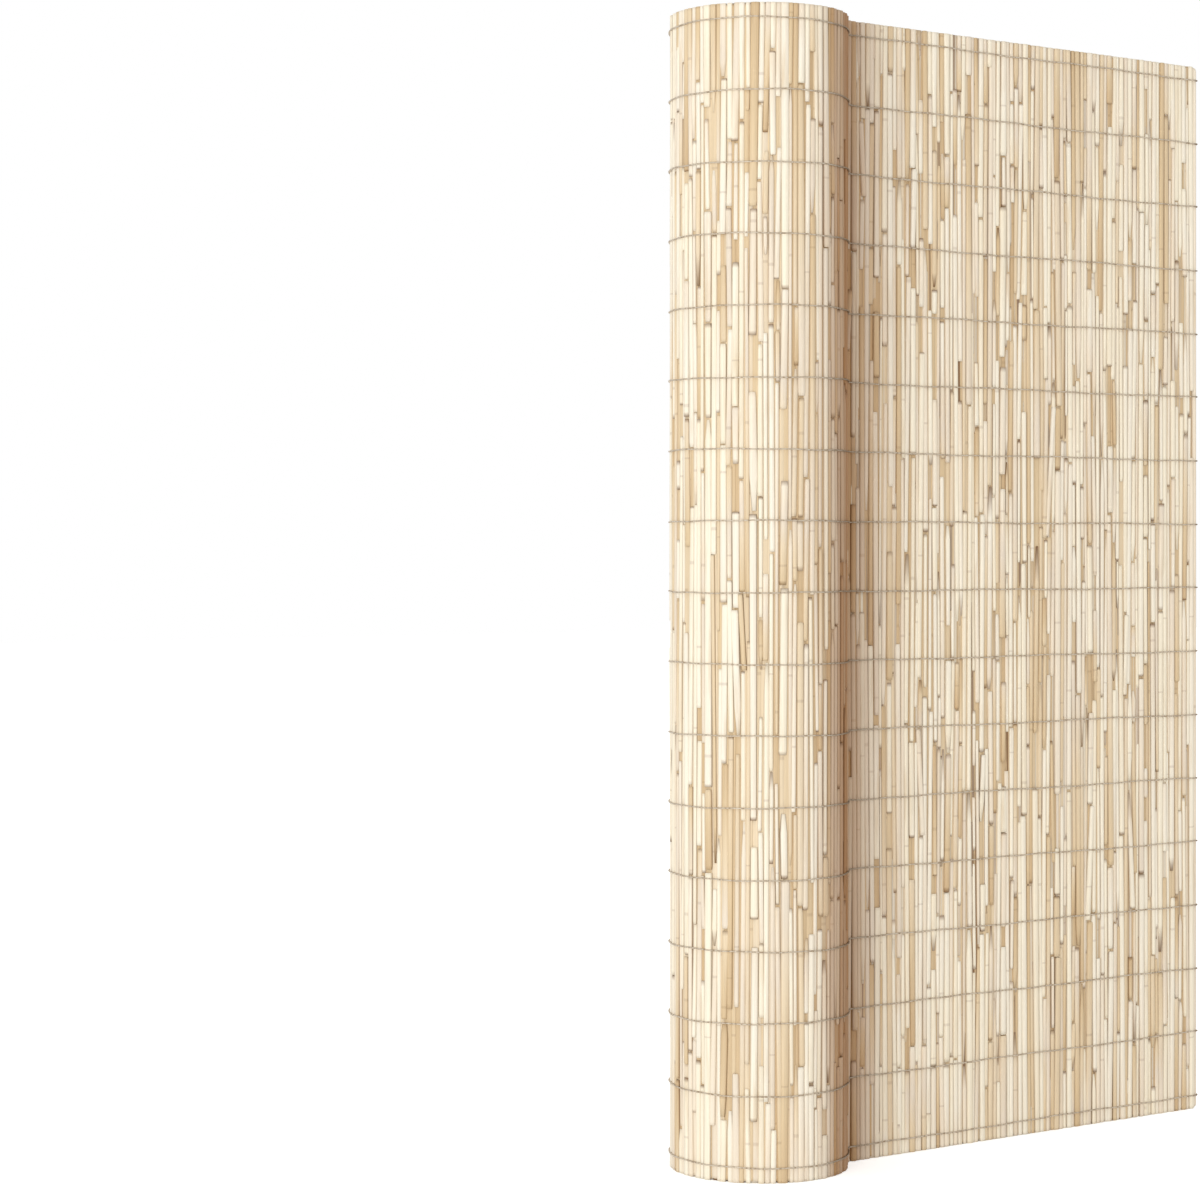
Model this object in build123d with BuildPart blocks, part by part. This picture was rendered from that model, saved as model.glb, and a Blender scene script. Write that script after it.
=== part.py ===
from build123d import *
from math import asin, atan2, cos, degrees, pi, radians, sin
import os

os.makedirs("parts", exist_ok=True)

# Screen: one long mat of reeds, mostly rolled up, with its free end standing out as a flat panel
height = 1000.0
panel_length = 433.0
roll_radius = 78.2
half_turns = 17
turn_gap = 1.0
panel_face = 36.3
bend_radius = 12.0
corner_radius = 7.0

# Reeds: stems side by side with three sides showing, a deep seam between each two, and wider
# reeds standing prouder
reed_width = 5.3
reed_spread = 0.11
crown_ratio = 0.28
shoulder_ratio = 0.24
mat_thickness = 6.0

# Pockets: places where a reed of the front row stops short of the next above it
pocket_every = 3
pocket_length = 44.0
pocket_swing = 0.5
pocket_margin = 60.0
pocket_floor = 0.3

# Gaps: open slits in the seams, in columns between bundles of reeds
reeds_per_bundle = 5
gap_strip = 1.4
gap_width = 1.0
gaps_per_column = 3
gap_share = 0.5
gap_share_swing = 0.3
gap_margin = 20.0

# Binding wires: each lies along both faces of the mat and turns round its free edge
wire_count = 17
wire_inset = 13.0
wire_size = 1.2
wire_clearance = 0.1
wire_chords = 9

# What follows from these sizes
turn_pitch = mat_thickness + turn_gap
widest_reed = reed_width * (1 + 3.2 * reed_spread)
seam_depth = crown_ratio * widest_reed
leave_angle = degrees(asin(-(panel_face + bend_radius) / (roll_radius + bend_radius)))
bend_angle = 90 + leave_angle
front_y = -panel_face
back_y = front_y + mat_thickness
middle_y = (front_y + back_y) / 2
edge_radius = mat_thickness / 2 - seam_depth


def polar(centre, radius, angle):
    """Point at a radius and an angle in degrees round a centre."""
    return centre + Vector(radius * cos(radians(angle)), radius * sin(radians(angle)))


roll_centre = Vector(0, 0)
second_centre = polar(roll_centre, turn_pitch / 2, leave_angle - 180)
bend_centre = polar(roll_centre, roll_radius + bend_radius, leave_angle)
panel_start = bend_centre.X
panel_end = panel_start + panel_length
edge_x = panel_end + edge_radius
panel_reeds = round(panel_length / reed_width)


def seam(index, count):
    """Share of a run of reeds that lies before one seam, the reeds being of uneven width."""
    turn = 2 * pi * index / count
    uneven = sin(round(0.382 * count) * turn) + sin(round(0.233 * count) * turn)
    return (index + reed_spread * uneven) / count


def half_turn(index):
    """Centre, crown radius and outer end angle of one half turn, counted from the outside."""
    centre = second_centre if index % 2 else roll_centre
    return centre, roll_radius - index * turn_pitch / 2, leave_angle - 180 * index


def panel_seam(index):
    """Distance along X of one seam of the flat panel."""
    return panel_start + panel_length * seam(index, panel_reeds)


def crown(start, end, way):
    """Three sides of one reed from seam to seam, on the side that a vector points to."""
    across = end - start
    rise = way.normalized() * crown_ratio * across.length
    foot = across * shoulder_ratio
    Polyline(start, start + foot + rise, end - foot + rise, end)


def strip_half(index):
    """Half the width of the flat strip at one seam, which is zero where there are no gaps."""
    column = index % reeds_per_bundle == 0 and 0 < index < panel_reeds
    return gap_strip / 2 if column else 0.0


front_reeds = []
with BuildPart() as reed_mat:
    with BuildSketch() as plan:
        with BuildLine() as outline:
            # Outer side of the inner turns, from the core outwards
            for index in range(half_turns - 1, 1, -1):
                centre, radius, end = half_turn(index)
                CenterArc(centre, radius, end - 180, 180)

            # Step down to the first seam of the outer turn, then the crowns of that turn
            start = polar(roll_centre, roll_radius - turn_pitch, leave_angle)
            Line(start, polar(roll_centre, roll_radius - turn_pitch - seam_depth, leave_angle))
            for index in (1, 0):
                centre, radius, end = half_turn(index)
                count = round(pi * radius / reed_width)
                for reed in range(count):
                    low = end - 180 + 180 * seam(reed, count)
                    high = end - 180 + 180 * seam(reed + 1, count)
                    left = polar(centre, radius - seam_depth, low)
                    right = polar(centre, radius - seam_depth, high)
                    crown(left, right, (left + right) / 2 - centre)
                    front_reeds.append((left, right))

            # Crowns in the hollow bend where the mat leaves the roll
            count = round(bend_radius * radians(bend_angle) / reed_width)
            for reed in range(count):
                high = 90 + bend_angle * (1 - reed / count)
                low = 90 + bend_angle * (1 - (reed + 1) / count)
                left = polar(bend_centre, bend_radius + seam_depth, high)
                right = polar(bend_centre, bend_radius + seam_depth, low)
                crown(left, right, bend_centre - (left + right) / 2)

            # Both faces of the flat panel, and the round reed at its free edge
            for seam_y, way in ((front_y + seam_depth, -1), (back_y - seam_depth, 1)):
                for reed in range(panel_reeds):
                    left = Vector(panel_seam(reed) + strip_half(reed), seam_y)
                    right = Vector(panel_seam(reed + 1) - strip_half(reed + 1), seam_y)
                    crown(left, right, Vector(0, way))
                    if way < 0:
                        front_reeds.append((left, right))
                    if strip_half(reed + 1) > 0:
                        Line(right, right + Vector(gap_strip, 0))
            ThreePointArc(
                (panel_end, front_y + seam_depth),
                (edge_x, middle_y),
                (panel_end, back_y - seam_depth),
            )

            # Inner side of the mat, from the back of the panel round to the core
            Line((panel_start, back_y - seam_depth), (panel_start, back_y))
            CenterArc(bend_centre, bend_radius + mat_thickness, 90, bend_angle)
            for index in range(half_turns):
                centre, radius, end = half_turn(index)
                CenterArc(centre, radius - mat_thickness, end, -180)
            centre, radius, end = half_turn(half_turns - 1)
            Line(polar(centre, radius - mat_thickness, end - 180), polar(centre, radius, end - 180))
        make_face()
    extrude(amount=height)

    # Rounded corners of the free edge
    with BuildSketch(Plane.XZ) as corners:
        with Locations((edge_x, 0), (edge_x, height)):
            Rectangle(2 * corner_radius, 2 * corner_radius)
        with Locations(
            (edge_x - corner_radius, corner_radius),
            (edge_x - corner_radius, height - corner_radius),
        ):
            Circle(corner_radius, mode=Mode.SUBTRACT)
    extrude(amount=roll_radius, both=True, mode=Mode.SUBTRACT)

    # Pockets between the ends of reeds, at uneven heights
    pockets = []
    for number in range(0, len(front_reeds), pocket_every):
        left, right = front_reeds[number]
        across = right - left
        way = Vector(across.Y, -across.X).normalized()
        rise = crown_ratio * across.length
        share = 0.618 * number % 1
        level = pocket_margin + (height - 2 * pocket_margin) * share
        place = (left + right) / 2 + way * (rise - pocket_floor) / 2 + Vector(0, 0, level)
        length = pocket_length * (1 + pocket_swing * sin(2.4 * number))
        with Locations(Location(place, (0, 0, degrees(atan2(way.Y, way.X))))):
            pockets.append(
                Box(rise + 3 * pocket_floor, across.length + 0.2, length, mode=Mode.PRIVATE)
            )
    add(pockets, mode=Mode.SUBTRACT)

    # Open gaps between the bundles of reeds, of uneven length and height
    bay = (height - 2 * gap_margin) / gaps_per_column
    with BuildSketch(Plane.XZ) as gaps:
        for column in range(reeds_per_bundle, panel_reeds, reeds_per_bundle):
            for row in range(gaps_per_column):
                turn = 2.4 * (column / reeds_per_bundle) + 1.7 * row
                length = bay * (gap_share + gap_share_swing * sin(turn))
                shift = 0.4 * (bay - length) * cos(1.3 * turn)
                middle = gap_margin + bay * (row + 0.5) + shift
                with Locations((panel_seam(column), middle)):
                    Rectangle(gap_width, length)
    extrude(amount=roll_radius, both=True, mode=Mode.SUBTRACT)

reed_mat.part.label = "reed_mat"
export_step(reed_mat.part, "parts/reed_mat.step")


def wire_run(offset):
    """Plan of one side of a binding wire, at an offset from the crowns of the reeds."""
    step = 180 / wire_chords
    flare = cos(radians(step / 2))
    centre, radius, end = half_turn(1)
    points = [polar(centre, radius + offset, end - 180 + step)]
    for index in (1, 0):
        centre, radius, end = half_turn(index)
        for chord in range(wire_chords - 1 - index, -1, -1):
            points.append(polar(centre, (radius + offset) / flare, end - (chord + 0.5) * step))
    points.append(polar(roll_centre, roll_radius + offset, leave_angle))
    points.append(polar(bend_centre, bend_radius - offset, 90 + bend_angle / 2))
    points.append(Vector(panel_start, front_y - offset))
    edge_centre = Vector(edge_x - mat_thickness / 2, middle_y)
    edge_reach = (mat_thickness / 2 + offset) / cos(radians(30))
    for angle in (-60, 0, 60):
        points.append(polar(edge_centre, edge_reach, angle))
    points.append(Vector(panel_start, back_y + offset))
    return points


wire_pitch = (height - 2 * wire_inset) / (wire_count - 1)
for number in range(wire_count):
    level = wire_inset + number * wire_pitch - wire_size / 2
    near_side = wire_run(wire_clearance)
    far_side = wire_run(wire_clearance + wire_size)
    with BuildPart() as binding_wire:
        with BuildSketch(Plane.XY.offset(level)):
            with BuildLine():
                Polyline(*near_side, *reversed(far_side), close=True)
            make_face()
        extrude(amount=wire_size)
    name = f"binding_wire_{number + 1:02d}"
    binding_wire.part.label = name
    export_step(binding_wire.part, f"parts/{name}.step")
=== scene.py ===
"""Looks of the reed screen: single reeds with hollow cut ends, and the wires that bind them.

The classes hold lengths in millimetres. A length turns to metres when its mesh is made.
"""

import logging
import math
from collections.abc import Callable
from dataclasses import dataclass, replace
from enum import Enum
from functools import partial
from typing import Any

import bpy
import numpy as np
from bpy.types import Material, Mesh, Node, NodeSocket, NodeTree, Object
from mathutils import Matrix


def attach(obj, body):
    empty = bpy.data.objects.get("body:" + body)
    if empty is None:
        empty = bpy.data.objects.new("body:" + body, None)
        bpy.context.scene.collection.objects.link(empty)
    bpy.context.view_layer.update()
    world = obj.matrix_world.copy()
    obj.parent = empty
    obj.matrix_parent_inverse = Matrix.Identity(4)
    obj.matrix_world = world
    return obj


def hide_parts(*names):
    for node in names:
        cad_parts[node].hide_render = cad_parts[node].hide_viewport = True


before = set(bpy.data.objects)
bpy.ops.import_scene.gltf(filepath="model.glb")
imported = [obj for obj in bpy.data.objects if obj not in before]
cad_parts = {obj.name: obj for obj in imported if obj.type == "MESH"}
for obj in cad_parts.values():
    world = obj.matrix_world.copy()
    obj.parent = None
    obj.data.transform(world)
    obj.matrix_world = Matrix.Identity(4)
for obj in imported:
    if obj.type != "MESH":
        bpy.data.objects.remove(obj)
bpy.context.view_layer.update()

MM = 0.001
LOG = logging.getLogger("reed_screen")

Array = np.ndarray
Path = Callable[[Array], tuple[Array, Array]]
Pair = tuple[float, float]
Place = tuple[float, float, float]
Adder = Callable[..., Node]


class Slot(Enum):
    """Material slots of the record."""

    REED = "reed"
    WIRE = "wire"


def linear(code: str) -> tuple[float, float, float, float]:
    """Turn an sRGB hex colour to linear light.

    Args:
        code: six hex digits.

    Returns:
        Red, green, blue and an alpha of one.
    """
    share = np.array([int(code[i : i + 2], 16) for i in (0, 2, 4)]) / 255
    light = np.where(share <= 0.04045, share / 12.92, ((share + 0.055) / 1.055) ** 2.4)
    return (*light.tolist(), 1.0)


def add_node(
    tree: NodeTree,
    kind: str,
    settings: dict[str | int, Any] | None = None,
    links: dict[str | int, NodeSocket] | None = None,
) -> Node:
    """Add a node with its settings and its incoming links.

    Args:
        tree: node tree that gets the node.
        kind: Blender's name of the shader node type, less its common start.
        settings: values by property name, or by input name or number.
        links: output sockets by the input they feed.

    Returns:
        The new node.
    """
    node = tree.nodes.new(f"ShaderNode{kind}")
    for key, value in (settings or {}).items():
        if isinstance(key, str) and hasattr(node, key):
            setattr(node, key, value)
        else:
            node.inputs[key].default_value = value
    for key, source in (links or {}).items():
        tree.links.new(source, node.inputs[key])
    return node


def new_material(name: str) -> tuple[Material, Adder]:
    """Make an empty node material.

    Args:
        name: name of the material.

    Returns:
        The material, and the function that adds nodes to it.
    """
    material = bpy.data.materials.new(name)
    material.use_nodes = True
    material.node_tree.nodes.clear()
    return material, partial(add_node, material.node_tree)


def add_mesh(name: str, points: Array, faces: list[list[int]], material: Material) -> Object:
    """Put a mesh into the scene.

    Args:
        name: name of the object and its mesh.
        points: points in metres.
        faces: numbers of each face's points.
        material: finish of the mesh.

    Returns:
        The object, at the origin.
    """
    mesh = bpy.data.meshes.new(name)
    mesh.from_pydata(points, [], faces)
    mesh.materials.append(material)
    item = bpy.data.objects.new(name, mesh)
    bpy.context.collection.objects.link(item)
    return item


@dataclass(frozen=True)
class PeeledReed:
    """Dried reed stem with its leaf sheaths stripped off: a smooth, slightly waxy straw skin.

    It shows as pale matt stems of many straw tones, with fine grain along the stem, tan stains,
    a faint ring at each joint of the stem, a brown hollow at each cut end, painted shade in tan
    in the fold of the mat, and painted shade in dark brown in the seams between the stems.
    """

    tones: tuple[tuple[float, str], ...] = (
        (0.00, "CEB087"),
        (0.14, "DDC39B"),
        (0.28, "E9D4B3"),
        (0.38, "EADBC6"),
        (0.46, "F2E2CA"),
        (0.62, "F7EDDA"),
        (0.80, "F9EED7"),
        (1.00, "F6E8CE"),
    )
    stain: str = "D3B993"
    # Painted shade in the fold
    fold: str = "9A6A38"
    # Painted shade in the seams between the stems, also the brown of the brown ends
    shade_brown: str = "7E5832"
    ring: str = "8A6844"
    hollow: str = "8A6440"
    ior: float = 1.45
    roughness: float = 0.58
    grain_mm: Pair = (0.7, 60.0)
    stain_mm: Pair = (7.0, 90.0)

    @staticmethod
    def _streaks(
        add: Adder, place: NodeSocket, size_mm: Pair, detail: float, roughness: float
    ) -> NodeSocket:
        """Stretch a noise along the stem.

        Args:
            add: function that adds nodes.
            place: coordinates of the surface.
            size_mm: width and length of a streak.
            detail: how many finer layers the noise has.
            roughness: weight of the finer layers.

        Returns:
            The noise.
        """
        across, along = (1 / (size * MM) for size in size_mm)
        drawn = add("Mapping", {"Scale": (across, across, along)}, {"Vector": place})
        noise = add(
            "TexNoise",
            {"Scale": 1.0, "Detail": detail, "Roughness": roughness},
            {"Vector": drawn.outputs[0]},
        )
        return noise.outputs["Fac"]

    def build(self) -> Material:
        """Make the material from tone, joints, bores, and painted shade in the fold and the seams.

        Returns:
            The reed material.
        """
        material, add = new_material("peeled_reed")
        place = add("TexCoord").outputs["Object"]
        tone, joint, fold, shade, bore = (
            add("Attribute", {"attribute_name": name}).outputs["Fac"]
            for name in ("tone", "joint", "fold", "shade", "bore")
        )
        ramp = add("ValToRGB", links={"Fac": tone})
        stops = ramp.color_ramp.elements
        while len(stops) < len(self.tones):
            stops.new(0.5)
        for stop, (position, code) in zip(stops, self.tones):
            stop.position = position
            stop.color = linear(code)

        # Grain makes each tone a little lighter and darker
        grain = self._streaks(add, place, self.grain_mm, 2.0, 0.6)
        value = add(
            "MapRange",
            {"From Min": 0.3, "From Max": 0.7, "To Min": 0.88, "To Max": 1.03},
            {"Value": grain},
        )
        links = {"Value": value.outputs[0], "Color": ramp.outputs["Color"]}
        grained = add("HueSaturation", links=links)

        # Stains lie where a coarser noise is high, rings where the joint count passes a half
        stain = self._streaks(add, place, self.stain_mm, 3.0, 0.55)
        stain_share = add(
            "MapRange",
            {"From Min": 0.56, "From Max": 0.78, "To Min": 0.0, "To Max": 0.6},
            {"Value": stain},
        )
        turn = add("Math", {"operation": "FRACT"}, {0: joint})
        offset = add("Math", {"operation": "SUBTRACT", 1: 0.5}, {0: turn.outputs[0]})
        reach = add("Math", {"operation": "ABSOLUTE"}, {0: offset.outputs[0]})
        ring_share = add(
            "MapRange",
            {"From Min": 0.005, "From Max": 0.002, "To Min": 0.0, "To Max": 0.22},
            {"Value": reach.outputs[0]},
        )

        # Each colour goes over those before it by its own share
        colour = grained.outputs["Color"]
        for share, code in (
            (stain_share.outputs[0], self.stain),
            (ring_share.outputs[0], self.ring),
            # Painted shade in the fold, then painted shade in the seams, which also browns the ends
            (fold, self.fold),
            (shade, self.shade_brown),
            (bore, self.hollow),
        ):
            settings = {"data_type": "RGBA", 7: linear(code)}
            colour = add("Mix", settings, {0: share, 6: colour}).outputs[2]
        bump = add("Bump", {"Strength": 0.25, "Distance": 0.2 * MM}, {"Height": grain})
        shader = add(
            "BsdfPrincipled",
            {"Roughness": self.roughness, "IOR": self.ior},
            {"Base Color": colour, "Normal": bump.outputs["Normal"]},
        )
        add("OutputMaterial", links={"Surface": shader.outputs[0]})
        return material


@dataclass(frozen=True)
class BindingSteel:
    """Soft galvanised steel wire, drawn and then weathered: dull zinc grey with brown specks."""

    zinc: str = "C8BAA6"
    rust: str = "A08A70"
    # Painted shade where the mat folds and where the wire turns round the free edge
    wire_shade: str = "7A6650"
    metallic: float = 0.3
    speck_mm: float = 2.5

    def build(self) -> Material:
        """Make the wire material: specks by place, and painted shade in the fold and at the edge.

        Returns:
            The wire material.
        """
        material, add = new_material("galvanised_binding_wire")
        place = add("TexCoord").outputs["Object"]
        scale = 1 / (self.speck_mm * MM)
        speck = add("TexNoise", {"Scale": scale, "Detail": 2.0}, {"Vector": place})
        limits = {"From Min": 0.45, "From Max": 0.7}
        share = add("MapRange", limits, {"Value": speck.outputs["Fac"]}).outputs[0]
        colours = {"data_type": "RGBA", 6: linear(self.zinc), 7: linear(self.rust)}
        specked = add("Mix", colours, {0: share})
        # Painted shade, darker where the mat folds and where the wire turns round the free edge
        fold = add("Attribute", {"attribute_name": "fold"}).outputs["Fac"]
        wire_shade = {"data_type": "RGBA", 7: linear(self.wire_shade)}
        shaded_colour = add("Mix", wire_shade, {0: fold, 6: specked.outputs[2]})
        rough = add("MapRange", {"To Min": 0.38, "To Max": 0.7}, {"Value": share})
        shader = add(
            "BsdfPrincipled",
            {"Metallic": self.metallic},
            {"Base Color": shaded_colour.outputs[2], "Roughness": rough.outputs[0]},
        )
        add("OutputMaterial", links={"Surface": shader.outputs[0]})
        return material


def ray(angle: Array) -> Array:
    """Unit vectors in plan at angles in radians."""
    return np.stack([np.cos(angle), np.sin(angle)], -1)


@dataclass(frozen=True)
class MatPlan:
    """Plan of the mat: a roll of half turns about two centres, a hollow bend and a flat panel."""

    # Numbers that spread seams, widths and pockets as in the solid
    SEAM_WAVES = (0.382, 0.233)
    WIDEST = 3.2
    GOLDEN = 0.618
    POCKET_TURN = 2.4

    height: float = 1000.0
    roll_radius: float = 78.2
    panel_face: float = 36.3
    bend_radius: float = 12.0
    panel_length: float = 433.0
    thickness: float = 6.0
    turn_gap: float = 1.0
    half_turns: int = 17
    corner_radius: float = 9.0
    reed_width: float = 5.3
    reed_spread: float = 0.11
    crown_ratio: float = 0.28
    pocket_every: int = 3
    pocket_length: float = 44.0
    pocket_swing: float = 0.5
    pocket_margin: float = 60.0

    @property
    def leave(self) -> float:
        """Angle at which the mat leaves the roll."""
        return -math.asin((self.panel_face + self.bend_radius) / self.bend_reach)

    @property
    def bend_reach(self) -> float:
        """Distance from the roll's axis to the centre of the bend."""
        return self.roll_radius + self.bend_radius

    @property
    def bend(self) -> float:
        """Angle through which the mat bends between roll and panel."""
        return math.pi / 2 + self.leave

    @property
    def bend_centre(self) -> Array:
        """Centre of the bend in plan."""
        return self.bend_reach * ray(np.array(self.leave))

    @property
    def panel_end(self) -> float:
        """Distance along X of the end of the flat panel."""
        return float(self.bend_centre[0]) + self.panel_length

    @property
    def pitch(self) -> float:
        """Distance from one turn of the roll to the next."""
        return self.thickness + self.turn_gap

    @property
    def inner_half(self) -> float:
        """Length of the first half of the outer turn along its crowns."""
        return math.pi * (self.roll_radius - self.pitch / 2)

    @property
    def roll_length(self) -> float:
        """Length of the outer turn along its crowns."""
        return math.pi * (2 * self.roll_radius - self.pitch / 2)

    @property
    def lining_length(self) -> float:
        """Length of the inside of the outer turn."""
        return math.pi * (2 * (self.roll_radius - self.thickness) - self.pitch / 2)

    @property
    def widest_reed(self) -> float:
        """Width of the widest reed, whose crown stands proudest."""
        return self.reed_width * (1 + self.WIDEST * self.reed_spread)

    def seams(self, length: float) -> Array:
        """Seams of a stretch of the mat whose reeds are of uneven width, as in the solid.

        Seam number i of n lies at the share i / n, plus a little of two quicker sine waves of it.

        Args:
            length: length of the stretch.

        Returns:
            Runs of the seams, with both ends.
        """
        count = round(length / self.reed_width)
        index = np.arange(count + 1)
        turn = 2 * math.pi * index / count
        uneven = sum(np.sin(round(share * count) * turn) for share in self.SEAM_WAVES)
        return length * (index + self.reed_spread * uneven) / count

    def bend_seams(self, radius: float) -> Array:
        """Seams of the bend at one of its radii, in even steps and with both ends."""
        count = round(radius * self.bend / self.reed_width)
        return np.linspace(0.0, 1.0, count + 1) * radius * self.bend

    def stretches(self) -> tuple[Array, Array, Array, Array]:
        """Seams of each stretch of the front, from its own start.

        Returns:
            Runs of the seams on both halves of the outer turn, the bend and the panel.
        """
        inner = self.seams(self.inner_half)
        outer = self.seams(math.pi * self.roll_radius)
        bend = self.bend_seams(self.bend_radius)
        return inner, outer, bend, self.seams(self.panel_length)

    def front_seams(self) -> Array:
        """Seams of the whole front.

        Returns:
            Runs of the seams, from the start of the outer turn to the free edge.
        """
        first, *others = self.stretches()
        starts = np.cumsum([first[-1]] + [part[-1] for part in others])
        return np.concatenate([first] + [part[1:] + at for part, at in zip(others, starts)])

    def back_seams(self) -> Array:
        """Seams of the back.

        Returns:
            Runs of the seams, from the free edge to the roll.
        """
        panel = self.panel_length - self.seams(self.panel_length)[::-1]
        bend = self.bend_seams(self.bend_radius + self.thickness)
        return np.concatenate([panel, self.panel_length + bend[1:]])

    def pockets(self) -> tuple[Array, Array]:
        """Spans of height at which reeds of the front stop short, as in the solid.

        Every third reed outside the bend has one. Its level follows the reed's number by the
        golden section, and its length by a sine wave.

        Returns:
            Low and high end for each reed of the front, both above the mat where there is none.
        """
        inner, outer, bend, panel = (len(part) - 1 for part in self.stretches())
        roll = np.arange(inner + outer)
        number = np.concatenate([roll, np.full(bend, -1), inner + outer + np.arange(panel)])
        room = self.height - 2 * self.pocket_margin
        level = self.pocket_margin + room * (self.GOLDEN * number % 1)
        swing = self.pocket_swing * np.sin(self.POCKET_TURN * number)
        half = self.pocket_length * (1 + swing) / 2
        none = (number < 0) | (number % self.pocket_every != 0)
        far = 2 * self.height
        return np.where(none, far, level - half), np.where(none, far, level + half)

    def half_turn(self, index: Array) -> tuple[Array, Array, Array]:
        """Centres, crown radii and outer end angles of half turns, counted from the outside.

        Args:
            index: numbers of the half turns.

        Returns:
            Centres, radii and angles.
        """
        odd = (index % 2)[..., None]
        centre = odd * (self.pitch / 2) * ray(np.array(self.leave - math.pi))
        return centre, self.roll_radius - index * self.pitch / 2, self.leave - math.pi * index

    def front(self, run: Array) -> tuple[Array, Array]:
        """Crown line of the outside: the outer turn, then the hollow bend, then the panel's front.

        On the turn the angle grows with the run over the radius, on the bend it falls, and on the
        panel X grows with the run.

        Args:
            run: lengths from the start of the outer turn.

        Returns:
            Points and outward unit vectors in plan.
        """
        first = self.inner_half
        half = (run < first).astype(int)
        centre, radius, end = self.half_turn(half)
        angle = end - math.pi + (run - first * (1 - half)) / radius
        turn_way = ray(angle)
        turn = centre + radius[..., None] * turn_way
        past = run - self.roll_length
        bend_way = -ray(self.leave + math.pi - past / self.bend_radius)
        bend = self.bend_centre - self.bend_radius * bend_way
        past_bend = past - self.bend_radius * self.bend
        flat = np.stack(
            [self.bend_centre[0] + past_bend, np.full_like(run, -self.panel_face)], -1
        )
        flat_way = np.broadcast_to(np.array([0.0, -1.0]), flat.shape)
        on_turn, on_flat = (past < 0)[..., None], (past_bend > 0)[..., None]
        point = np.where(on_turn, turn, np.where(on_flat, flat, bend))
        return point, np.where(on_turn, turn_way, np.where(on_flat, flat_way, bend_way))

    def back(self, run: Array) -> tuple[Array, Array]:
        """Crown line of the inside: the panel's back from its free edge, the bend, then the roll.

        Args:
            run: lengths from the free edge.

        Returns:
            Points and outward unit vectors in plan.
        """
        flat = np.stack(
            [self.panel_end - run, np.full_like(run, self.thickness - self.panel_face)], -1
        )
        flat_way = np.broadcast_to(np.array([0.0, 1.0]), flat.shape)
        past = run - self.panel_length
        bend_radius = self.bend_radius + self.thickness
        bend_way = ray(math.pi / 2 + past / bend_radius)
        bend = self.bend_centre + bend_radius * bend_way
        past_bend = past - bend_radius * self.bend
        first = math.pi * (self.roll_radius - self.thickness)
        half = (past_bend > first).astype(int)
        centre, radius, end = self.half_turn(half)
        radius = radius - self.thickness
        turn_way = -ray(end - (past_bend - first * half) / radius)
        turn = centre - radius[..., None] * turn_way
        on_flat, on_turn = (past < 0)[..., None], (past_bend > 0)[..., None]
        point = np.where(on_flat, flat, np.where(on_turn, turn, bend))
        return point, np.where(on_flat, flat_way, np.where(on_turn, turn_way, bend_way))

    def core(self, run: Array) -> tuple[Array, Array]:
        """Crown line of the inner turns, from the inner end of the mat outwards.

        Args:
            run: lengths from the inner end.

        Returns:
            Points and outward unit vectors in plan.
        """
        order = np.arange(self.half_turns - 1, 1, -1)
        starts = np.concatenate([[0.0], np.cumsum(math.pi * self.half_turn(order)[1])])
        place = np.clip(np.searchsorted(starts, run, "right") - 1, 0, len(order) - 1)
        centre, radius, end = self.half_turn(order[place])
        way = ray(end - math.pi + (run - starts[place]) / radius)
        return centre + radius[..., None] * way, way

    @property
    def core_length(self) -> float:
        """Length of the inner turns along their crowns."""
        return float(math.pi * self.half_turn(np.arange(2, self.half_turns))[1].sum())


# Slow waves of the reeds: size, lengths over height and along the mat, and phase
WAVES = ((0.8, 1100.0, 160.0, 0.0), (0.45, 520.0, -90.0, 1.0))


def wander(run: Array, level: Array) -> Array:
    """Sideways drift of the reeds, by slow waves so that neighbours go together.

    Each wave is its size times the sine of the turns made over both its lengths, plus its phase.

    Args:
        run: lengths along the mat.
        level: heights.

    Returns:
        The drift.
    """
    return sum(
        size * np.sin(2 * math.pi * (level / tall + run / wide) + phase)
        for size, tall, wide, phase in WAVES
    )


def random_seams(
    length: float, pitch: float, seed: int, spread: float = 0.27, limits: Pair = (0.6, 1.55)
) -> Array:
    """Seams of a row that can hardly be seen, shared out among reeds of random width.

    Args:
        length: length of the row.
        pitch: mean width of its reeds.
        seed: seed of the random widths.
        spread: spread of the widths.
        limits: narrowest and widest reed, as shares of the mean.

    Returns:
        Runs of the seams, with both ends.
    """
    rng = np.random.default_rng(seed)
    widths = np.exp(spread * rng.standard_normal(round(length / pitch)))
    slots = np.clip(widths, *limits)
    return np.concatenate([[0.0], np.cumsum(slots)]) * length / slots.sum()


@dataclass(frozen=True)
class Blend:
    """Two ranges of random numbers: a share of draws is from the few, the rest from the most."""

    share: float
    few: Pair
    most: Pair

    def draw(self, rng: np.random.Generator, size: int | tuple[int, int]) -> Array:
        """Draw numbers in a given shape."""
        first = rng.random(size) < self.share
        return np.where(first, rng.uniform(*self.few, size), rng.uniform(*self.most, size))


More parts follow.
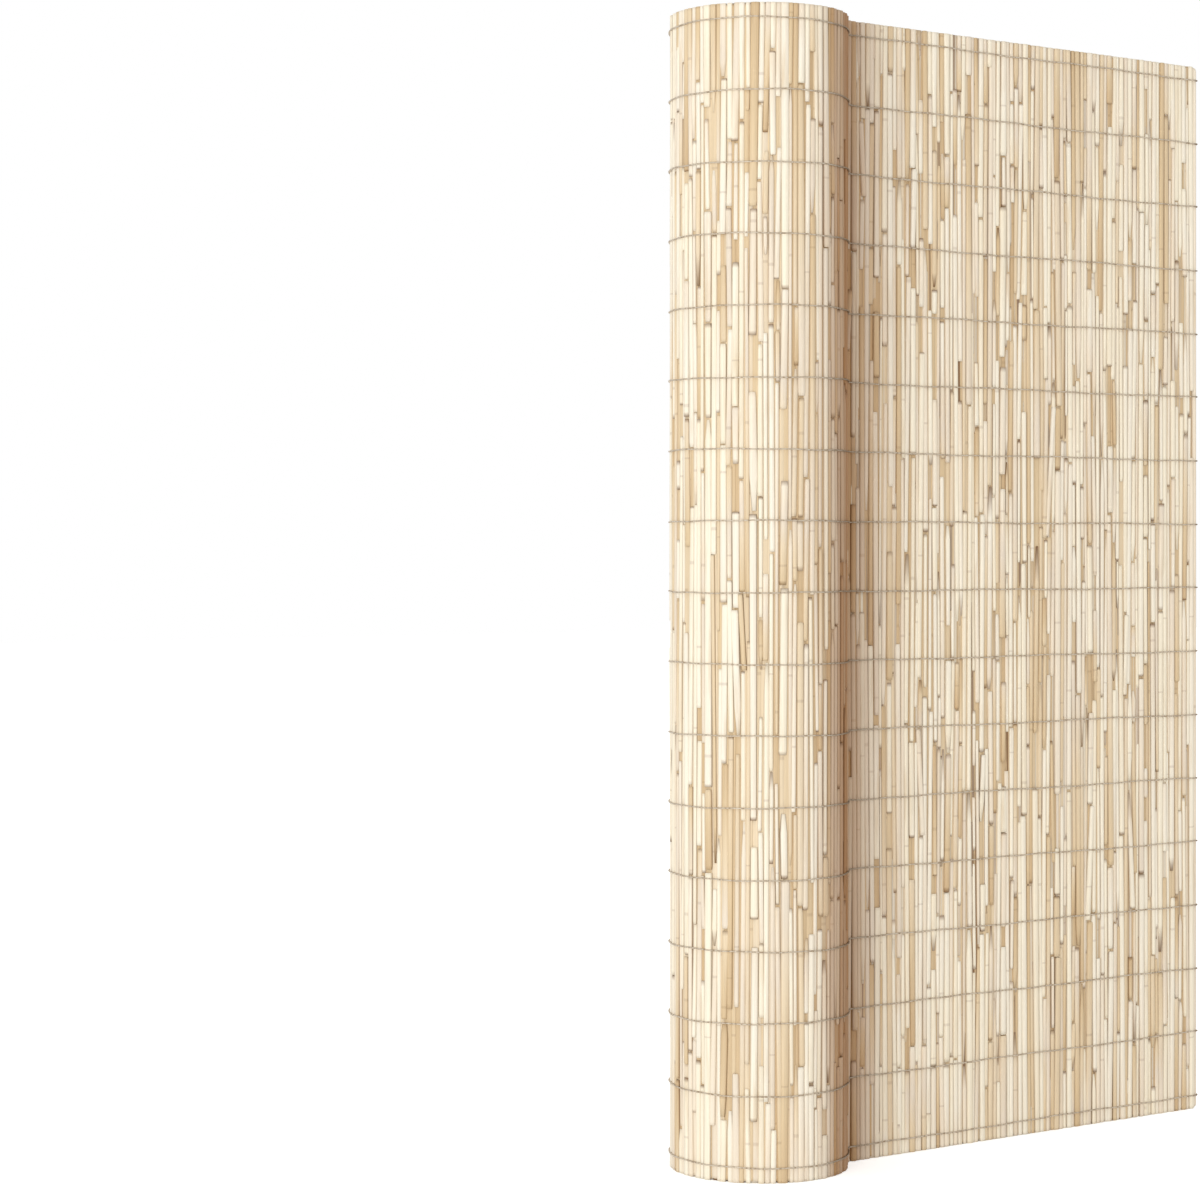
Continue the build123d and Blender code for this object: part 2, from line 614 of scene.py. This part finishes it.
@dataclass(frozen=True)
class StemHabit:
    """How stems differ: ranges of lengths, slopes and shares, and how often a range holds."""

    pieces: int = 16
    first_shift: float = 220.0
    least_length: float = 16.0
    near_end: float = 40.0
    length: Blend = Blend(0.6, (40.0, 150.0), (150.0, 380.0))
    gap: Blend = Blend(0.7, (0.6, 3.0), (8.0, 60.0))
    uneven_end: Pair = (0.0, 0.3)
    thin_share: float = 0.2
    thin_fill: Pair = (0.62, 0.82)
    cut_fill: float = 1.06
    cut_taper: float = 3.0
    pointed_share: float = 0.12
    # Pointed ends first, then blunt ones
    tips: tuple[Pair, Pair] = ((0.35, 0.65), (0.84, 0.97))
    tapers: tuple[Pair, Pair] = ((10.0, 35.0), (2.0, 5.0))
    brown_share: float = 0.36
    brown: Pair = (0.4, 0.95)
    askew_share: float = 0.08
    askew_length: float = 120.0
    askew_lean: float = 0.04
    lean: float = 0.009
    lean_reach: float = 2.4
    upright_share: float = 0.9
    sink: Pair = (0.0, 0.5)
    shift: Pair = (-0.5, 0.5)
    flatness: float = 0.46
    joint_gap: Pair = (180.0, 420.0)
    drift: Pair = (-0.4, 0.4)
    thinning: Pair = (-0.3, 0.3)
    # Painted shade on a stem's flanks, in the seams beside it
    flank_shade: Blend = Blend(0.27, (0.55, 0.95), (0.2, 0.42))


@dataclass
class Stems:
    """Arrays with one entry per reed stem, or one line for low and one for high ends."""

    run: Array
    width: Array
    deep: Array
    sink: Array
    low: Array
    high: Array
    lean: Array
    tip: Array
    taper: Array
    brown: Array
    tone: Array
    joint_gap: Array
    joint_start: Array
    drift: Array
    thinning: Array
    flank_shade: Array

    def only(self, keep: Array) -> "Stems":
        """Keep the stems that a mask names."""
        return Stems(**{name: value[..., keep] for name, value in vars(self).items()})


@dataclass
class ReedRow:
    """One row of reeds side by side along a line of the plan."""

    plan: MatPlan
    path: Path
    bounds: Array
    deep: float
    seed: int
    broken: bool = False
    edge: float | None = None
    whole_within: float = 0.0
    short: float = 0.0
    sunk: float = 0.0
    tones: Pair = (0.1, 1.0)
    pockets: tuple[Array, Array] | None = None
    fill: Pair = (1.02, 1.12)
    seam_shade_share: float = 1.0
    habit: StemHabit = StemHabit()

    @property
    def slots(self) -> Array:
        """Width of each reed's place."""
        return np.diff(self.bounds)

    @property
    def places(self) -> Array:
        """Run of each reed's middle."""
        return (self.bounds[1:] + self.bounds[:-1]) / 2

    def _cuts(self, rng: np.random.Generator, top: Array, bottom: Array) -> tuple[Array, Array]:
        """Cut each reed's place into pieces of random length, with gaps between their ends.

        Args:
            rng: source of the random lengths.
            top: height at which each reed ends.
            bottom: height at which each reed starts.

        Returns:
            Low and high end of the pieces, one line per reed.
        """
        if not self.broken:
            return bottom, top
        count, height, habit = len(self.slots), self.plan.height, self.habit
        size = (count, habit.pieces)
        length, gap = habit.length.draw(rng, size), habit.gap.draw(rng, size)
        low = np.cumsum(length + gap, 1) - length - rng.uniform(0.0, habit.first_shift, (count, 1))
        high = low + length
        if self.edge is not None:
            whole = np.abs(self.places - self.edge) < self.whole_within
            low[whole], high[whole] = height, height
            low[whole, 0], high[whole, 0] = 0.0, height
        low = np.where(low < bottom + habit.near_end, bottom, low)
        high = np.where(high > top - habit.near_end, top, high)
        if self.pockets is not None:
            start, stop = (end[:, None] for end in self.pockets)
            below, above = np.minimum(high, start), np.maximum(low, stop)
            low, high = np.hstack([low, above]), np.hstack([below, high])
        return low, high

    def _ends(self, rng: np.random.Generator, cut: Array) -> tuple[Array, Array, Array]:
        """Shape the ends of stems: most are blunt, some pointed or brown, and cut ones plain.

        Args:
            rng: source of the random numbers.
            cut: which low and high ends are cut at the edge of the mat.

        Returns:
            Width share, length of the taper and brown of each low and high end.
        """
        habit, size = self.habit, cut.shape
        pointed = rng.random(size) < habit.pointed_share
        tip, taper = (
            np.where(pointed, rng.uniform(*few, size), rng.uniform(*most, size))
            for few, most in (habit.tips, habit.tapers)
        )
        dark = rng.random(size) < habit.brown_share
        brown = np.where(dark, rng.uniform(*habit.brown, size), 0.0)
        return (
            np.where(cut, 1.0, tip),
            np.where(cut, habit.cut_taper, taper),
            np.where(cut, 0.0, brown),
        )

    def stems(self) -> Stems:
        """Make the stems of the row, each piece with its own width, lean, ends and tone.

        Returns:
            The stems of the row.
        """
        habit, plan, count = self.habit, self.plan, len(self.slots)
        rng = np.random.default_rng(self.seed)
        top = plan.height - self.short - rng.uniform(*habit.uneven_end, (count, 1))
        bottom = self.short + rng.uniform(*habit.uneven_end, (count, 1))
        low, high = self._cuts(rng, top, bottom)
        keep = high - low > habit.least_length
        total = int(keep.sum())
        slot = np.broadcast_to(self.slots[:, None], keep.shape)[keep]
        place = np.broadcast_to(self.places[:, None], keep.shape)[keep]
        cut = np.stack([(low == bottom)[keep], (high == top)[keep]])
        thin = self.broken & (rng.random(total) < habit.thin_share)
        fill = np.where(thin, rng.uniform(*habit.thin_fill, total), rng.uniform(*self.fill, total))
        width = slot * np.where(cut.any(0), np.maximum(fill, habit.cut_fill), fill)
        tip, taper, brown = self._ends(rng, cut)
        loose = 1.0 if self.broken else 0.0
        span = (high - low)[keep]
        askew = (rng.random(total) < habit.askew_share) & (span < habit.askew_length) & ~cut.any(0)
        most = np.where(span > habit.upright_share * plan.height, 0.0, habit.lean_reach / span)
        lean = np.clip(rng.normal(0.0, habit.lean, total), -most, most)
        lean = np.where(askew, rng.normal(0.0, habit.askew_lean, total), lean)
        sink = plan.crown_ratio * np.clip(plan.widest_reed - slot, 0.0, None)
        sink = np.where(askew, 0.0, sink + rng.uniform(*habit.sink, total))
        return Stems(
            run=place + loose * rng.uniform(*habit.shift, total),
            width=width,
            deep=np.minimum(self.deep, habit.flatness * width),
            sink=self.sunk + loose * sink,
            low=low[keep],
            high=high[keep],
            lean=loose * lean,
            tip=tip,
            taper=taper,
            brown=brown,
            tone=rng.uniform(*self.tones, total),
            joint_gap=rng.uniform(*habit.joint_gap, total),
            joint_start=rng.uniform(0.0, habit.joint_gap[1], total),
            drift=rng.uniform(*habit.drift, total),
            thinning=loose * rng.uniform(*habit.thinning, total),
            flank_shade=self.seam_shade_share * habit.flank_shade.draw(rng, total),
        )


class ReedMesh:
    """Closed skins of reed stems, each a profile of eight rings turned round a stem's own line."""

    KEYS = ("tone", "joint", "bore", "fold", "shade")
    SIDES = 8
    ANGLE = 2 * math.pi * np.arange(SIDES) / SIDES
    RINGS = 8
    # Ends: depth of the hollow, most of the stem that it and the taper take, radii of the hollow
    RECESS = 4.0
    RECESS_SHARE = 0.2
    TAPER_SHARE = 0.3
    MOUTH = 0.58
    BOTTOM = 0.5
    # Colours: sine above which a crown has no painted shade, and the rings of the hollows and a low
    # end
    PLAIN_CROWN = 0.7
    BORE = np.array([1.0, 0.75, 0.0, 0.0, 0.0, 0.0, 0.75, 1.0])
    LOW_END = np.array([1.0, 1.0, 1.0, 0.0, 0.0, 0.0, 0.0, 0.0])
    # Map: columns for each row of strips, margins of a strip, half sizes of the end discs
    MAP_SHAPE = 30
    MAP_SIDE = 0.05
    MAP_END = 0.03
    MAP_DISC = (0.3, 0.008)

    def __init__(self) -> None:
        """Start with no stems."""
        self.points: list[Array] = []
        self.values: dict[str, list[Array]] = {key: [] for key in self.KEYS}

    def add(self, stems: Stems, row: ReedRow, fold: Array | float = 0.0) -> None:
        """Add stems that stand along a line of the plan.

        A ring's centre is the line's point at the stem's run plus drift and lean, moved in by the
        sink and the half depth. Round it the skin is an ellipse: half the width times the cosine
        along the line, half the depth times the sine across it, both times the ring's share. Near
        the free edge the cut ends drop by the corner radius less the height of a circle there.

        Args:
            stems: the stems to add.
            row: row that they belong to.
            fold: how much painted shade of the fold each stem has.
        """
        span = stems.high - stems.low
        middle = (stems.low + stems.high) / 2
        # Both ends at once, from the bottom of the hollow out to the rim and on along the taper
        tip, taper = stems.tip, np.minimum(stems.taper, self.TAPER_SHARE * span)
        hollow = np.broadcast_to(np.minimum(self.RECESS, self.RECESS_SHARE * span), tip.shape)
        inset = np.stack([hollow, 0 * tip, 0 * tip, taper])
        level = np.concatenate([stems.low + inset[:, 0], stems.high - inset[::-1, 1]]).T
        share = np.stack([self.BOTTOM * tip, self.MOUTH * tip, tip, np.ones_like(tip)])
        share = np.concatenate([share[:, 0], share[::-1, 1]]).T
        along = (level - middle[:, None]) / span[:, None]
        share = share * (1 + stems.thinning[:, None] * along)
        lean = stems.lean[:, None] * (level - middle[:, None])
        run = stems.run[:, None] + lean + wander(stems.run[:, None], level)
        point, way = row.path(run)
        point = point - way * (stems.sink + stems.deep)[:, None, None]
        side = np.stack([-way[..., 1], way[..., 0]], -1)
        wide = share[..., None] * (stems.width / 2)[:, None, None] * np.cos(self.ANGLE)
        deep = share[..., None] * stems.deep[:, None, None] * np.sin(self.ANGLE)
        plan = point[:, :, None] + wide[..., None] * side[:, :, None]
        plan = plan + deep[..., None] * way[:, :, None]
        rise = np.broadcast_to(level[:, :, None], plan.shape[:3])
        if row.edge is not None:
            corner, height = row.plan.corner_radius, row.plan.height
            inside = np.clip(corner - np.abs(row.edge - run[..., None] - wide), 0.0, corner)
            drop = corner - np.sqrt(corner**2 - inside**2)
            upper, lower = level > height - 2 * corner, level < 2 * corner
            rise = rise + drop * (lower.astype(float) - upper)[..., None]
        self.points.append(np.concatenate([plan, rise[..., None]], -1))
        joint = (level - stems.low[:, None] + stems.joint_start[:, None]) / stems.joint_gap[:, None]
        tone = np.clip(stems.tone[:, None] + stems.drift[:, None] * along, 0.0, 1.0)
        # Painted shade on each stem's flanks, none on the crown, joined with the brown ends
        crown = np.clip((self.PLAIN_CROWN - np.sin(self.ANGLE)) / self.PLAIN_CROWN, 0.0, 1.0)
        flank_shade = stems.flank_shade[:, None, None] * crown
        low_brown, high_brown = stems.brown[..., None]
        brown = low_brown * self.LOW_END + high_brown * self.LOW_END[::-1]
        # Painted shade of the fold, one value for each stem
        fold_shade_share = np.broadcast_to(fold, middle.shape)
        values = (
            tone[:, :, None],
            joint[:, :, None],
            self.BORE[None, :, None],
            fold_shade_share[:, None, None],
            1 - (1 - brown)[..., None] * (1 - flank_shade),
        )
        shape = (len(middle), self.RINGS, self.SIDES)
        for key, value in zip(self.KEYS, values):
            self.values[key].append(np.broadcast_to(value, shape))

    def build(self, name: str, material: Material) -> Object:
        """Make the mesh object of all the stems added.

        Args:
            name: name of the object.
            material: finish of the reeds.

        Returns:
            The object, at the origin.
        """
        points = np.concatenate(self.points) * MM
        count, sides, rings = len(points), self.SIDES, self.RINGS
        stem, ring, side = np.meshgrid(
            np.arange(count), np.arange(rings - 1), np.arange(sides), indexing="ij"
        )
        base, after = (stem * rings + ring) * sides, (side + 1) % sides
        above = base + sides
        quads = np.stack([base + side, above + side, above + after, base + after], -1)
        quads = quads.reshape(-1, 4)
        start = np.arange(count)[:, None] * rings * sides
        floors = start + np.arange(sides)
        ceilings = start + (rings - 1) * sides + np.arange(sides)[::-1]
        faces = quads.tolist() + floors.tolist() + ceilings.tolist()
        item = add_mesh(name, points.reshape(-1, 3), faces, material)
        mesh = item.data
        # Only the skin from rim to rim is smooth
        smooth = np.zeros(len(faces), bool)
        smooth[: len(quads)] = ((ring >= 2) & (ring <= rings - 4)).reshape(-1)
        mesh.polygons.foreach_set("use_smooth", smooth)
        for key, parts in self.values.items():
            layer = mesh.attributes.new(key, "FLOAT", "POINT")
            layer.data.foreach_set("value", np.concatenate(parts).astype(np.float32).ravel())
        self._unwrap(mesh, points, ring, side, stem)
        return item

    def _unwrap(
        self, mesh: Mesh, points: Array, ring: Array, side: Array, stem: Array
    ) -> None:
        """Lay each stem's skin flat in its own upright strip of the map.

        Args:
            mesh: mesh that gets the map.
            points: points by stem, ring and side, in metres.
            ring: ring number of each quad.
            side: side number of each quad.
            stem: stem number of each quad.
        """
        count = len(points)
        rows = max(1, round(math.sqrt(count / self.MAP_SHAPE)))
        columns = math.ceil(count / rows)
        step = np.linalg.norm(np.diff(points[:, :, 0], axis=1), axis=-1)
        rise = np.concatenate([np.zeros((count, 1)), np.cumsum(step, 1)], 1)
        rise = self.MAP_END + (1 - 2 * self.MAP_END) * rise / rise[:, -1:]
        across = np.stack([side, side, side + 1, side + 1], -1) / self.SIDES
        upward = np.stack([ring, ring + 1, ring + 1, ring], -1)
        cell = stem[..., None]
        u = (cell % columns + self.MAP_SIDE + (1 - 2 * self.MAP_SIDE) * across) / columns
        v = (cell // columns + rise[cell, upward]) / rows
        quad_map = np.stack([u, v], -1)
        order = np.arange(count)[:, None]
        wide, tall = self.MAP_DISC
        disc_u = (order % columns + 0.5 + wide * np.cos(self.ANGLE)) / columns
        disc_v = order // columns + tall * np.sin(self.ANGLE)
        low_disc, high_disc = (
            np.stack([disc_u, (disc_v + at) / rows], -1)
            for at in (self.MAP_END / 2, 1 - self.MAP_END / 2)
        )
        layer = mesh.uv_layers.new(name="OFBake")
        whole = [quad_map.ravel(), low_disc.ravel(), high_disc[:, ::-1].ravel()]
        layer.uv.foreach_set("vector", np.concatenate(whole).astype(np.float32))


@dataclass
class ReedMat:
    """The mat: rows of reeds on its front, its back and between, and the turns inside the roll."""

    plan: MatPlan
    front_deep: float = 2.0
    back_deep: float = 1.4
    face_fill: Pair = (0.9, 1.1)
    filler_deep: float = 1.1
    filler_sunk: float = 2.4
    filler_inset: float = 1.0
    filler_short: float = 1.5
    # The filler takes the darkest tones: painted shade on the row seen through gaps in the front
    filler_shade_tones: Pair = (0.0, 0.3)
    filler_fill: Pair = (1.2, 1.35)
    border_width: float = 4.6
    border_deep: float = 2.1
    border_sunk: float = 0.9
    border_tones: Pair = (0.4, 0.7)
    # Share of painted seam shade on the border reed, whose outside is open
    border_seam_shade: float = 0.2
    core_pitch: float = 5.7
    core_deep: float = 2.7
    # Painted shade in the fold: reach on roll and panel, height on the panel, gain by tone, most
    fold_on_roll: float = 63.0
    fold_on_panel: float = 42.0
    panel_fold_shade: float = 0.68
    fold_shade_gain: float = 1.15
    fold_shade_by_tone: float = 0.35
    most_fold_shade: float = 0.94

    def __post_init__(self) -> None:
        """Lay out the rows."""
        plan = self.plan
        front, back = plan.front_seams(), plan.back_seams()
        filler = random_seams(front[-1] - self.filler_inset, plan.reed_width, seed=53)
        lining = random_seams(plan.lining_length, plan.reed_width, seed=37)
        core = random_seams(plan.core_length, self.core_pitch, seed=41)
        edge = front[-1] + self.border_width
        self.front = ReedRow(
            plan,
            plan.front,
            front,
            self.front_deep,
            seed=17,
            broken=True,
            edge=edge,
            whole_within=self.border_width + plan.widest_reed,
            pockets=plan.pockets(),
            fill=self.face_fill,
        )
        self.back = replace(
            self.front,
            path=plan.back,
            bounds=back,
            deep=self.back_deep,
            seed=23,
            edge=-self.border_width,
            pockets=None,
        )
        self.filler = ReedRow(
            plan,
            plan.front,
            filler,
            self.filler_deep,
            seed=54,
            edge=edge,
            short=self.filler_short,
            sunk=self.filler_sunk,
            tones=self.filler_shade_tones,
            fill=self.filler_fill,
        )
        self.border = ReedRow(
            plan,
            plan.front,
            np.array([front[-1], edge]),
            self.border_deep,
            seed=61,
            edge=edge,
            sunk=self.border_sunk,
            tones=self.border_tones,
            seam_shade_share=self.border_seam_shade,
        )
        self.lining = ReedRow(
            plan, lambda run: plan.back(run + back[-1]), lining, self.back_deep, seed=38
        )
        self.core = ReedRow(plan, plan.core, core, self.core_deep, seed=42)

    def fold(self, run: Array) -> Array:
        """Painted shade in the fold, which falls off from where the mat leaves the roll.

        On the roll it falls by the fourth power of the distance in a bell curve, and on the panel
        by the second.

        Args:
            run: lengths from the start of the outer turn.

        Returns:
            Shares from nought to one.
        """
        past = run - self.plan.roll_length
        on_roll = np.exp(-((past / self.fold_on_roll) ** 4))
        on_panel = self.panel_fold_shade * np.exp(-((past / self.fold_on_panel) ** 2))
        return np.where(past < 0, on_roll, on_panel)

    def build(self, material: Material) -> list[Object]:
        """Make the reeds of the panel, of the outer turn and of the inner turns.

        Args:
            material: finish of the reeds.

        Returns:
            The three pieces.
        """
        panel, roll, core = ReedMesh(), ReedMesh(), ReedMesh()
        for row in (self.front, self.filler):
            stems = row.stems()
            # Painted shade in the fold, less on paler stems
            gain = self.fold_shade_gain - self.fold_shade_by_tone * stems.tone
            fold = np.clip(self.fold(stems.run) * gain, 0.0, self.most_fold_shade)
            on_roll = stems.run < self.plan.roll_length
            panel.add(stems.only(~on_roll), row, fold[~on_roll])
            roll.add(stems.only(on_roll), row, fold[on_roll])
        panel.add(self.border.stems(), self.border)
        panel.add(self.back.stems(), self.back)
        roll.add(self.lining.stems(), self.lining)
        core.add(self.core.stems(), self.core)
        pieces = [
            panel.build("panel_reeds", material),
            roll.build("outer_turn_reeds", material),
            core.build("inner_turn_reeds", material),
        ]
        for piece in pieces:
            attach(piece, "root")
            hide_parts("reed_mat")
        return pieces


def tube(line: Array, radius: float, sides: int) -> tuple[Array, list[list[int]]]:
    """Carry a round section along a line.

    Each ring lies square to the line: the radius times the cosine along the level vector square
    to the line, plus the radius times the sine along the vector square to both.

    Args:
        line: points of the line.
        radius: radius of the section.
        sides: corners of the section.

    Returns:
        Points and faces of the closed tube.
    """
    along = np.gradient(line, axis=0)
    along /= np.linalg.norm(along, axis=1, keepdims=True)
    level = np.cross(along, [0.0, 0.0, 1.0])
    level /= np.linalg.norm(level, axis=1, keepdims=True)
    above = np.cross(level, along)
    angle = 2 * math.pi * np.arange(sides) / sides
    across, upward = (ray(angle)[None, :, axis, None] for axis in (0, 1))
    ring = across * level[:, None] + upward * above[:, None]
    points = (line[:, None] + radius * ring).reshape(-1, 3)
    step, side = np.meshgrid(np.arange(len(line) - 1), np.arange(sides), indexing="ij")
    base, after = step * sides, (side + 1) % sides
    ahead = base + sides
    quads = np.stack([base + side, base + after, ahead + after, ahead + side], -1).reshape(-1, 4)
    last = (len(line) - 1) * sides
    faces = quads.tolist()
    faces.append(list(range(sides))[::-1])
    faces.append(list(range(last, last + sides)))
    return points, faces


@dataclass
class BindingWires:
    """Rows of binding wire, each pressed over the reeds and a little down between them."""

    mat: ReedMat
    count: int = 17
    inset: float = 13.0
    radius: float = 0.7
    sides: int = 6
    start: float = 24.0
    proud: float = 0.15
    dip: float = 0.5
    slow_wave: Pair = (0.45, 37.0)
    quick_wave: Pair = (0.25, 8.3)
    phase_step: float = 1.9
    back_phase: float = 1.0
    edge_reach: float = 0.2
    edge_room: float = 1.0
    edge_turn: float = 80.0
    edge_points: int = 7
    # Painted shade on the wire where it turns round the free edge
    edge_shade: float = 0.9

    def _strand(
        self, row: ReedRow, level: float, start: float, end: float, phase: float
    ) -> tuple[Array, Array]:
        """Line of one strand: out over each reed's crown and in at each seam.

        Args:
            row: row of reeds that the strand crosses.
            level: height of the strand.
            start: first run of the strand.
            end: last run of the strand.
            phase: shifts the strand's small waves.

        Returns:
            Points of the line and their runs, in order.
        """
        run = np.sort(np.concatenate([row.places, row.bounds]))
        over = np.isin(run, row.places)
        keep = (run > start) & (run < end)
        run, over = run[keep], over[keep]
        rise = np.where(over, self.proud, self.proud - self.dip)
        point, way = row.path(run + wander(run, np.full_like(run, level)))
        waves = zip((self.slow_wave, self.quick_wave), (phase, 2 * phase))
        wave = sum(size * np.sin(run / length + shift) for (size, length), shift in waves)
        plan = point + way * rise[:, None]
        return np.column_stack([plan, level + wave]), run

    def _line(self, number: int) -> tuple[Array, Array]:
        """Line of one wire: its front strand, the turn at the free edge and its back strand.

        Args:
            number: number of the wire, from nought at the bottom.

        Returns:
            Points of the line, and how much painted shade the wire has at each.
        """
        plan, front, back = self.mat.plan, self.mat.front, self.mat.back
        pitch = (plan.height - 2 * self.inset) / (self.count - 1)
        level, phase = self.inset + number * pitch, self.phase_step * number
        half = plan.thickness / 2 + self.proud
        turn = np.radians(np.linspace(-self.edge_turn, self.edge_turn, self.edge_points))
        turn_x = plan.panel_end + self.mat.border_width + self.edge_reach - half - self.radius
        first = plan.panel_end - turn_x + self.edge_room
        last = front.bounds[-1] - first
        outside, run = self._strand(front, level, self.start, last, phase)
        phase += self.back_phase
        inside, _ = self._strand(back, level, first, plan.panel_length, phase)
        edge = np.column_stack(
            [
                turn_x + half * np.cos(turn),
                plan.thickness / 2 - plan.panel_face + half * np.sin(turn),
                np.linspace(outside[-1, 2], inside[0, 2], len(turn)),
            ]
        )
        # Painted shade: that of the fold along the front, more at the turn, none on the back
        wire_shade = np.full(len(edge), self.edge_shade)
        dark = np.concatenate([self.mat.fold(run), wire_shade, np.zeros(len(inside))])
        return np.concatenate([outside, edge, inside]), dark

    def build(self, material: Material) -> list[Object]:
        """Make one piece for each wire.

        Args:
            material: finish of the wire.

        Returns:
            The wires, from the bottom up.
        """
        pieces = []
        for number in range(self.count):
            line, dark = self._line(number)
            points, faces = tube(line, self.radius, self.sides)
            fold = np.repeat(dark, self.sides).astype(np.float32)
            name = f"binding_wire_{number + 1:02d}"
            piece = add_mesh(f"{name}_strand", points * MM, faces, material)
            piece.data.polygons.foreach_set("use_smooth", [len(face) == 4 for face in faces])
            layer = piece.data.attributes.new("fold", "FLOAT", "POINT")
            layer.data.foreach_set("value", fold)
            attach(piece, "root")
            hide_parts(name)
            pieces.append(piece)
        return pieces


@dataclass
class Studio:
    """Plain pale floor, one soft lamp, an even room and the camera, in metres."""

    camera_at: Place = (-1.670, -2.060, 0.536)
    camera_turn: float = -36.04
    lens: float = 91.2
    sensor: float = 36.0
    shift_y: float = -0.037
    far: float = 60.0
    lamp_at: Place = (-3.7, -2.13, 0.4)
    lamp_aim: Place = (0.15, 0.0, 0.45)
    lamp_size: Pair = (2.4, 0.8)
    lamp_watts: float = 72.0
    lamp_colour: str = "F6FBFF"
    room_light: float = 0.88
    white: str = "FFFFFF"
    floor_colour: str = "EBEAE8"
    floor_glow: float = 0.5
    floor_half: float = 14.0

    @staticmethod
    def seen(add: Adder) -> NodeSocket:
        """Tell the rays that see white: those from the camera, mirrored or let through.

        Args:
            add: function that adds nodes.

        Returns:
            One for those rays, nought for the others.
        """
        path = add("LightPath").outputs
        seen = path["Is Camera Ray"]
        for name in ("Is Glossy Ray", "Is Transmission Ray"):
            either = add("Math", {"operation": "MAXIMUM"}, {0: seen, 1: path[name]})
            seen = either.outputs[0]
        return seen

    def floor(self) -> None:
        """Lay the floor, which looks white to the camera outside the object's soft shadow."""
        material, add = new_material("pale_floor")
        matt = add("BsdfDiffuse", {"Color": linear(self.floor_colour)}).outputs[0]
        glow = add("Emission", {"Color": linear(self.white), "Strength": self.floor_glow})
        both = add("AddShader", links={0: matt, 1: glow.outputs[0]}).outputs[0]
        mixed = add("MixShader", links={0: self.seen(add), 1: matt, 2: both})
        add("OutputMaterial", links={"Surface": mixed.outputs[0]})
        corners = self.floor_half * np.array([(-1, -1, 0), (1, -1, 0), (1, 1, 0), (-1, 1, 0)])
        item = add_mesh("floor", corners, [[0, 1, 2, 3]], material)

    def lamp(self) -> None:
        """Hang the low, wide lamp on the left, turned to face its aim."""
        data = bpy.data.lights.new("key", "AREA")
        data.shape = "RECTANGLE"
        data.size, data.size_y = self.lamp_size
        data.energy = self.lamp_watts
        data.color = linear(self.lamp_colour)[:3]
        item = bpy.data.objects.new("key", data)
        item.location = self.lamp_at
        way = np.array(self.lamp_aim) - np.array(self.lamp_at)
        flat = math.hypot(way[0], way[1])
        item.rotation_euler = (math.atan2(flat, -way[2]), 0.0, math.atan2(-way[0], way[1]))
        bpy.context.collection.objects.link(item)

    def world(self) -> None:
        """Light the room evenly, with plain white behind the object."""
        world = bpy.data.worlds.new("room")
        world.use_nodes = True
        world.node_tree.nodes.clear()
        add = partial(add_node, world.node_tree)
        room, white = (
            add("Background", {"Color": linear(self.white), "Strength": strength})
            for strength in (self.room_light, 1.0)
        )
        links = {0: self.seen(add), 1: room.outputs[0], 2: white.outputs[0]}
        mixed = add("MixShader", links=links)
        add("OutputWorld", links={"Surface": mixed.outputs[0]})
        bpy.context.scene.world = world

    def camera(self) -> None:
        """Set the level camera in front and to the left."""
        data = bpy.data.cameras.new("camera")
        data.lens = self.lens
        data.sensor_width = self.sensor
        data.shift_y = self.shift_y
        data.clip_end = self.far
        item = bpy.data.objects.new("camera", data)
        item.location = self.camera_at
        item.rotation_euler = (math.pi / 2, 0.0, math.radians(self.camera_turn))
        bpy.context.collection.objects.link(item)
        bpy.context.scene.camera = item

    def build(self) -> None:
        """Set up floor, lamp, world and camera."""
        self.floor()
        self.lamp()
        self.world()
        self.camera()
        bpy.context.scene.view_settings.view_transform = "Standard"


def main() -> None:
    """Build the reeds, the wires and the studio."""
    logging.basicConfig(level=logging.INFO, format="%(name)s: %(message)s")
    mat = ReedMat(MatPlan())
    pieces = mat.build(PeeledReed().build())
    pieces += BindingWires(mat).build(BindingSteel().build())
    for piece in pieces:
        LOG.info("%s: %d faces", piece.name, len(piece.data.polygons))
    Studio().build()


if __name__ == "__main__":
    main()
